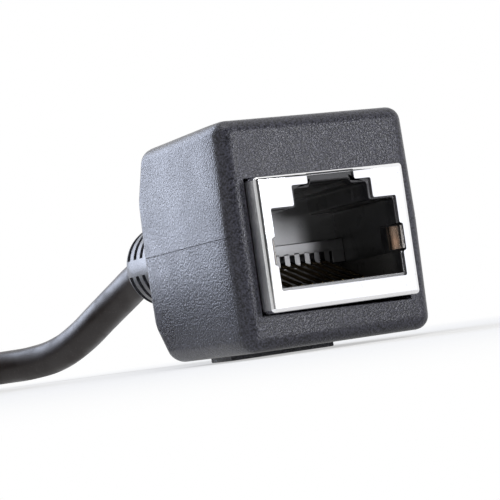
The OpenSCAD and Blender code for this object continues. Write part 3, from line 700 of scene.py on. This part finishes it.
rows = [boot_root_y]
for i in reversed(range(slot_count)):
    middle = last_slot - i * slot_pitch
    rows += [middle - slot_w / 2, middle + slot_w / 2]
line = [(cord_d / 2, boot_root_y)] + [(boot_radius(y), y) for y in rows]
tip_y = boot_high.y - boot_tip_r
tip_in = boot_radius(boot_high.y) - boot_tip_r
for i in range(boot_tip_steps + 1):
    angle = math.radians(90 * i / boot_tip_steps)
    line.append((tip_in + boot_tip_r * math.cos(angle), tip_y + boot_tip_r * math.sin(angle)))
line.append((cord_d / 2, boot_high.y))
bm = bmesh.new()
turn_round(bm, line, Vector((0, 0, boot_z)), boot_steps)
bmesh.ops.remove_doubles(bm, verts=bm.verts, dist=1e-7)
bmesh.ops.recalc_face_normals(bm, faces=bm.faces)
slot_faces = []
for f in bm.faces:
    middle = f.calc_center_median()
    steps = (last_slot - middle.y) / slot_pitch
    in_slot = abs(steps - round(steps)) * slot_pitch < slot_w / 2 and 0 <= round(steps) < slot_count
    outer = math.hypot(middle.x, middle.z - boot_z) > boot_core_r
    if in_slot and outer and abs(middle.z - boot_z) > web_half:
        slot_faces.append(f)
sunk = bmesh.ops.extrude_face_region(bm, geom=slot_faces)["geom"]
bmesh.ops.delete(bm, geom=[f for f in slot_faces if f.is_valid], context="FACES_ONLY")
for v in made_verts(sunk):
    radius = math.hypot(v.co.x, v.co.z - boot_z)
    v.co.x *= boot_core_r / radius
    v.co.z = boot_z + (v.co.z - boot_z) * boot_core_r / radius
boot = finish_piece("strain_relief_boot", bm, boot_soft, "socket", ["strain_relief"])

# Cord: a thin round lead with a satin black jacket. It leaves the boot, sags to the surface, and the length
# that isn't in use is wound into a small coil beside the socket, from which a short end runs to the plug.
lead_route = [(0, 28.75, 10.5), (0, 30.25, 10.5), (-0.3, 34, 9.8), (-1, 38, 8.3), (-2.2, 42, 6.4),
              (-3.4, 46, 4.5), (-4.8, 50, 3.1), (-6.5, 54, 2.5), (-8.9, 58, 2.4), (-12.3, 62, 2.4),
              (-16.8, 65.6, 2.4), (-22, 68.4, 2.4), (-30, 70.24, 2.4), (-34, 70.24, 2.4)]
tail_route = [(-59.27, 37.31, 6.8), (-58.75, 35.38, 6.8), (-58.3, 32.8, 6.4), (-58.1, 30, 5.6),
              (-58.1, 27, 4.7), (-58.1, 24, 4.2), (-58.1, 22.5, 4.2)]
coil_middle = Vector((-37.8, 47, 2.4))
coil_turns = 3 + 7 / 24
coil_points = 24
coil_step = 4.4
coil_inner_r = 16


def coil_place(turn):
    """A point of the coil in millimetres: it spirals in below and out again above."""
    radius = coil_inner_r + coil_step * abs(turn - coil_turns / 2)
    climb = min(max(2 * (turn - coil_turns / 2) + 0.5, 0), 1)
    angle = math.radians(90 + 360 * turn)
    rise = coil_step * climb * climb * (3 - 2 * climb)
    return coil_middle + Vector((radius * math.cos(angle), radius * math.sin(angle), rise))


coil_route = [coil_place(i / coil_points) for i in range(round(coil_points * coil_turns) + 1)]
cord_points = [Vector(p) * mm for p in lead_route + coil_route + tail_route]
cord_line = bpy.data.curves.new("cord", "CURVE")
cord_line.dimensions = "3D"
cord_line.bevel_depth = cord_d / 2
cord_line.bevel_resolution = 8
cord_line.use_fill_caps = True
cord_line.resolution_u = 6
spline = cord_line.splines.new("BEZIER")
spline.bezier_points.add(len(cord_points) - 1)
for point, place in zip(spline.bezier_points, cord_points):
    point.co = place
    point.handle_left_type = "AUTO"
    point.handle_right_type = "AUTO"
jacket = smooth_plastic("cord jacket", (0.02, 0.014, 0.0122), roughness=0.4, relief=0.006 * mm)
set_values(shader_of(jacket), Specular_IOR_Level=0.35)
cord_line.materials.append(jacket)
cord = add_object("cord", cord_line)
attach(cord, "socket")
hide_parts("cord_lead", "cord_coil", "cord_tail")
held_low, held_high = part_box("cord_held")
bm = bmesh.new()
held_turn = Matrix.Translation((held_low + held_high) / 2) @ Matrix.Rotation(math.radians(90), 4, "X")
bmesh.ops.create_cone(bm, cap_ends=True, segments=48, radius1=cord_d / 2, radius2=cord_d / 2,
                      depth=held_high.y - held_low.y, matrix=held_turn)
cord_inside = finish_piece("cord_inside", bm, jacket, "socket", ["cord_held"])

# Plug: a modular plug on the cord's far end, with a black body on eight gold blades. A slotted wall in its
# nose keeps the blades apart, and the latch lever is moulded on behind the nose, where it bends.
plug_low, plug_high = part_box("plug_body")
plug_place = Matrix.Translation(((plug_low.x + plug_high.x) / 2, plug_low.y, plug_low.z))
plug_w, plug_l, plug_h = plug_high - plug_low
plug_half = plug_w / 2
plug_round = 0.28 * mm
nose_h = 6.6 * mm
nose_wall = 0.85 * mm
blade_slot = 0.42 * mm
blade_end = 5.15 * mm
blade_top = 3.3 * mm
rib_half = (contact_pitch - blade_slot) / 2
rib_front = 0.5 * mm
rib_overlap = 0.3 * mm
rib_round = 0.05 * mm
rail_low = nose_h - mm
rail_y = 9 * mm
bridge_y = plug_l - 3 * mm
latch_half = 3.8 * mm
root_half = 3 * mm
root_front = 0.7 * mm
root_back = 1.6 * mm
root_top = nose_h + 0.35 * mm
root_round = 0.15 * mm
plug_plastic = smooth_plastic("plug plastic", (0.014, 0.014, 0.016), roughness=0.24)
bm = bmesh.new()
for low, high in (((-plug_half, 0, blade_top), (plug_half, plug_l, nose_h)),
                  ((-plug_half, blade_end, 0), (plug_half, plug_l, nose_h)),
                  ((-plug_half, 0, 0), (plug_half, nose_wall, nose_h)),
                  ((-plug_half, rail_y, rail_low), (-latch_half, plug_l, plug_h)),
                  ((latch_half, rail_y, rail_low), (plug_half, plug_l, plug_h)),
                  ((-plug_half, bridge_y, rail_low), (plug_half, plug_l, plug_h))):
    add_block(bm, low, high, plug_round, segments=3)
for middle in wall_middles:
    left = -plug_half if middle == wall_middles[0] else middle - rib_half
    right = plug_half if middle == wall_middles[-1] else middle + rib_half
    add_block(bm, (left, rib_front, 0), (right, blade_end + rib_overlap, blade_top + rib_overlap), rib_round)
add_block(bm, (-root_half, root_front, rail_low), (root_half, root_back, root_top), root_round)
bmesh.ops.transform(bm, matrix=plug_place, verts=bm.verts)
plug_body = finish_piece("plug_housing", bm, plug_plastic, "socket", ["plug_body"])
# The blades share the contacts' darkened gold, painted shade
dress_node("plug_blades", contact_gold)

# Plug latch: the springy lever on top of the plug, of the same black plastic and moulded on at its root. It
# is wide where it locks in a socket's notch and narrow where it is pressed.
latch_line = [(-3, 0.08), (3, 0.08), (3, 5.1), (1.65, 5.7),
              (1.65, 13.6), (-1.65, 13.6), (-1.65, 5.7), (-3, 5.1)]
latch_t = 0.9 * mm
latch_round = 0.14 * mm
latch_rise = math.radians(15)
bm = bmesh.new()
plate = bm.faces.new([bm.verts.new((x * mm, y * mm, 0)) for x, y in latch_line])
pulled = bmesh.ops.extrude_face_region(bm, geom=[plate])["geom"]
bmesh.ops.translate(bm, verts=made_verts(pulled), vec=(0, 0, latch_t))
round_edges(bm, bm.edges[:], latch_round, segments=2)
lean = Matrix.Translation((0, root_back, root_top)) @ Matrix.Rotation(latch_rise, 4, "X")
bmesh.ops.transform(bm, matrix=plug_place @ lean, verts=bm.verts)
plug_latch = finish_piece("plug_lever", bm, plug_plastic, "plug_latch", ["plug_latch"])

# Plug shell: one sheet of plated metal, duller than the socket's shield and with fine drawing lines, folded
# round the plug and open above for the latch. It grips the plug by its own spring.
wrap_low, wrap_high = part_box("plug_shell")
wrap_t = 0.25 * mm
wrap_fold = 0.5 * mm
closed_y = wrap_high.y - 3 * mm
fold_angle = 1.0
wrap_metal = plated_metal("plug plate", (0.56, 0.56, 0.57), roughness=0.26, streak=0.0012 * mm)
channel = [plug_place.translation.x + side * latch_half for side in (1, -1)]
bm = bmesh.new()
wrap = [(channel[0], wrap_high.z), (wrap_high.x, wrap_high.z), (wrap_high.x, wrap_low.z),
        (wrap_low.x, wrap_low.z), (wrap_low.x, wrap_high.z), (channel[1], wrap_high.z)]
rows = [[bm.verts.new((x, y, z)) for x, z in wrap] for y in (wrap_low.y, closed_y, wrap_high.y)]
for near, far in zip(rows, rows[1:]):
    for i in range(1 if near is rows[0] else 0, len(wrap)):
        bm.faces.new((near[i - 1], near[i], far[i], far[i - 1]))
lengthwise = [e for e in bm.edges if abs(e.verts[0].co.y - e.verts[1].co.y) > mm]
round_edges(bm, [e for e in lengthwise if e.calc_face_angle(0) > fold_angle], wrap_fold, segments=5)
plug_wrap = finish_piece("plug_wrap", bm, wrap_metal, "socket", ["plug_shell"], sheet=wrap_t)

# Plug boot: a soft black sleeve moulded on the cord behind the plug. A square collar meets the plug, and the
# tapered tail has grooves all round, so that it bends with the cord.
sleeve_low, sleeve_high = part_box("plug_boot")
collar_end = sleeve_low.y + 3 * mm
collar_round = 0.8 * mm
tail_start = collar_end - mm
sleeve_axis = Vector((plug_place.translation.x, 0, 4.2 * mm))
sleeve_root_r = 3.55 * mm
sleeve_end_r = 2.6 * mm
sleeve_end_edge = Vector((0.3, 0.35)) * mm
sleeve_steps = 48
groove_count = 4
groove_start = 0.9 * mm
groove_pitch = 1.6 * mm
groove_line = [(0, 0), (0.4 * mm, 0.12 * mm), (0.4 * mm, 0.6 * mm), (0.05 * mm, 0.72 * mm)]
bm = bmesh.new()
add_block(bm, sleeve_low, (sleeve_high.x, collar_end, sleeve_high.z), collar_round, segments=5)
line = [(cord_d / 2, tail_start), (sleeve_root_r, tail_start)]
for i in range(groove_count):
    start = groove_start + groove_pitch * i
    radius = sleeve_root_r + (sleeve_end_r - sleeve_root_r) * start / (sleeve_high.y - collar_end)
    line += [(radius - depth, collar_end + start + along) for depth, along in groove_line]
line += [(sleeve_end_r, sleeve_high.y - sleeve_end_edge.y), (sleeve_end_r - sleeve_end_edge.x, sleeve_high.y),
         (cord_d / 2, sleeve_high.y)]
turn_round(bm, line, sleeve_axis, sleeve_steps)
plug_sleeve = finish_piece("plug_sleeve", bm, boot_soft, "socket", ["plug_boot"], sharp=25)

# Tie: a flat woven band with hook and loop faces, cut from a roll. It is wrapped once round the coil's turns,
# and its end is lapped on top and pressed down.
tie_low, tie_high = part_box("cord_tie")
tie_t = 0.4 * mm
tie_bend = mm
thread_h = 0.05 * mm
lap_inset = 0.1 * mm
lap_start = tie_low.y + 1.4 * mm
lap_end = tie_high.y - 2.2 * mm
lap_low = tie_high.z - 0.1 * mm
lap_high = tie_high.z + 0.35 * mm
lap_round = 0.12 * mm


def woven_band(name, color):
    """Woven webbing: crossing threads in relief, dull, with a soft sheen."""
    material, tree, shader = new_finish(name, color, roughness=0.85)
    place = surface(tree)
    threads = []
    for direction in ("X", "DIAGONAL"):
        wave = tree.nodes.new("ShaderNodeTexWave")
        wave.bands_direction = direction
        set_values(wave, Scale=900, Distortion=1.5)
        tree.links.new(place, wave.inputs["Vector"])
        threads.append(wave.outputs["Fac"])
    height = math_node(tree, "MULTIPLY", *threads)
    lighter = tuple(c * 2.2 + 0.004 for c in color)
    tree.links.new(mix_color(tree, height, color, lighter), shader.inputs["Base Color"])
    set_values(shader, Sheen_Weight=0.3)
    add_bump(tree, shader, height, thread_h)
    return material


tie_cloth = woven_band("tie band", (0.01, 0.01, 0.012))
bm = bmesh.new()
wrap = [(tie_low.y, tie_low.z), (tie_high.y, tie_low.z), (tie_high.y, tie_high.z), (tie_low.y, tie_high.z)]
rows = [[bm.verts.new((x, y, z)) for y, z in wrap] for x in (tie_low.x, tie_high.x)]
for i in range(len(wrap)):
    bm.faces.new((rows[0][i - 1], rows[0][i], rows[1][i], rows[1][i - 1]))
folds = [e for e in bm.edges if len(e.link_faces) == 2]
round_edges(bm, folds, tie_bend, segments=5)
tie = finish_piece("tie_band", bm, tie_cloth, "socket", ["cord_tie"], sheet=tie_t)
bm = bmesh.new()
add_block(bm, (tie_low.x + lap_inset, lap_start, lap_low), (tie_high.x - lap_inset, lap_end, lap_high),
          lap_round)
tie_lap = finish_piece("tie_lap", bm, tie_cloth, "socket", [])

# Stage: a pale matt floor under the part, in a white room. Metal and gloss reflect the room, two grey boards
# and four soft panels, as beside a product table. None of it belongs to the part.
floor_size = 3.0
floor_gap = 0.02 * mm
floor_white = (0.85, 0.85, 0.85)
glow_start = 20 * mm
glow_full = 110 * mm
glow_least = 0.5
room_light = 0.45
white = (1.0, 1.0, 1.0)
daylight = (0.94, 0.95, 1.0)
sky_blue = (0.72, 0.8, 1.0)


def seen_rays(tree, *kinds):
    """1 for rays of the named kinds, else 0, so that a surface can look brighter than it lights."""
    rays = tree.nodes.new("ShaderNodeLightPath")
    total = rays.outputs[kinds[0]]
    for kind in kinds[1:]:
        total = math_node(tree, "ADD", total, rays.outputs[kind], clamp=True)
    return total


floor_paint, tree, paint = new_finish("floor paint", floor_white, roughness=0.9, specular=0.0)
glow = tree.nodes.new("ShaderNodeEmission")
set_values(glow, Strength=1.0)
reach = tree.nodes.new("ShaderNodeVectorMath")
reach.operation = "LENGTH"
tree.links.new(surface(tree), reach.inputs[0])
fade = map_range(tree, reach.outputs["Value"], glow_start, glow_full, glow_least, 1.0, True)
seen = seen_rays(tree, "Is Camera Ray", "Is Glossy Ray")
blend = tree.nodes.new("ShaderNodeMixShader")
tree.links.new(math_node(tree, "MULTIPLY", seen, fade), blend.inputs["Fac"])
tree.links.new(paint.outputs["BSDF"], blend.inputs[1])
tree.links.new(glow.outputs["Emission"], blend.inputs[2])
tree.links.new(blend.outputs["Shader"], tree.nodes["Material Output"].inputs["Surface"])
bm = bmesh.new()
bmesh.ops.create_grid(bm, x_segments=1, y_segments=1, size=floor_size)
floor = add_object("floor", make_mesh("floor", bm, floor_paint))
floor.location.z = cad_box[0][2] - floor_gap

world = bpy.data.worlds.new("white room")
bpy.context.scene.world = world
world.use_nodes = True
tree = world.node_tree
background = tree.nodes["Background"]
set_values(background, Color=(*white, 1))
seen = seen_rays(tree, "Is Camera Ray", "Is Glossy Ray", "Is Transmission Ray")
tree.links.new(map_range(tree, seen, 0, 1, room_light, 1.0), background.inputs["Strength"])


def grey_card(name, place, turn, size, glare):
    """A grey board that only reflections show, as stands beside a product table."""
    bm = bmesh.new()
    bmesh.ops.create_grid(bm, x_segments=1, y_segments=1, size=0.5, matrix=Matrix.Diagonal((*size, 1, 1)))
    paint = new_finish(name, (0, 0, 0), roughness=0.5, specular=0.0)[0]
    set_values(shader_of(paint), Emission_Color=(glare, glare, glare, 1), Emission_Strength=1.0)
    card = add_object(name, make_mesh(name, bm, paint))
    card.matrix_world = (Matrix.Translation(place) @ Matrix.Rotation(math.radians(turn), 4, "Z")
                         @ Matrix.Rotation(math.radians(90), 4, "X"))
    card.visible_camera = card.visible_diffuse = card.visible_shadow = card.visible_transmission = False


grey_card("front_card", place=(-0.125, -0.6, 0.25), turn=0, size=(1.15, 1.0), glare=0.06)
grey_card("left_card", place=(-0.6, -0.2, 0.25), turn=90, size=(0.9, 1.0), glare=0.55)


def soft_light(name, place, size, glare, color):
    """A soft panel that faces the socket; glare is how bright its surface is, with 1 as white."""
    lamp = bpy.data.lights.new(name, "AREA")
    lamp.shape = "RECTANGLE"
    lamp.size, lamp.size_y = size
    lamp.energy = glare * math.pi * size[0] * size[1]
    lamp.color = color
    panel = add_object(name, lamp)
    panel.location = place
    panel.rotation_euler = (Vector((0, 0, 0.01)) - Vector(place)).to_track_quat("-Z", "Y").to_euler()
    panel.visible_camera = False


soft_light("top panel", place=(-0.05, -0.1, 0.4), size=(0.3, 0.3), glare=2.0, color=white)
soft_light("rear left panel", place=(-0.234, 0.494, 0.195), size=(0.28, 0.58), glare=6.2, color=sky_blue)
soft_light("front right panel", place=(0.2, -0.38, 0.05), size=(0.16, 0.24), glare=1.12, color=daylight)
soft_light("front panel", place=(0.126, -0.4, 0.05), size=(0.06, 0.16), glare=25.0, color=daylight)

# Camera: just above the floor, in front of the part and to its left, with a long lens that is turned a little
# upwards. Its place and its turn come from a fit to corners of the housing and the shield.
camera_place = Vector((-75.74, -149.22, 2.1)) * mm
view_right = Vector((0.8935, -0.4262, -0.1415))
view_up = Vector((0.1077, -0.1024, 0.9889))
view_back = Vector((-0.4359, -0.8988, -0.0456))
camera_data = bpy.data.cameras.new("camera")
camera_data.lens = 132.9
camera_data.sensor_width = 36.0
camera_data.clip_start = 0.01
camera = add_object("camera", camera_data)
turn = Matrix((view_right, view_up, view_back)).transposed().to_4x4()
camera.matrix_world = Matrix.Translation(camera_place) @ turn
bpy.context.scene.camera = camera
bpy.context.scene.view_settings.view_transform = "Standard"
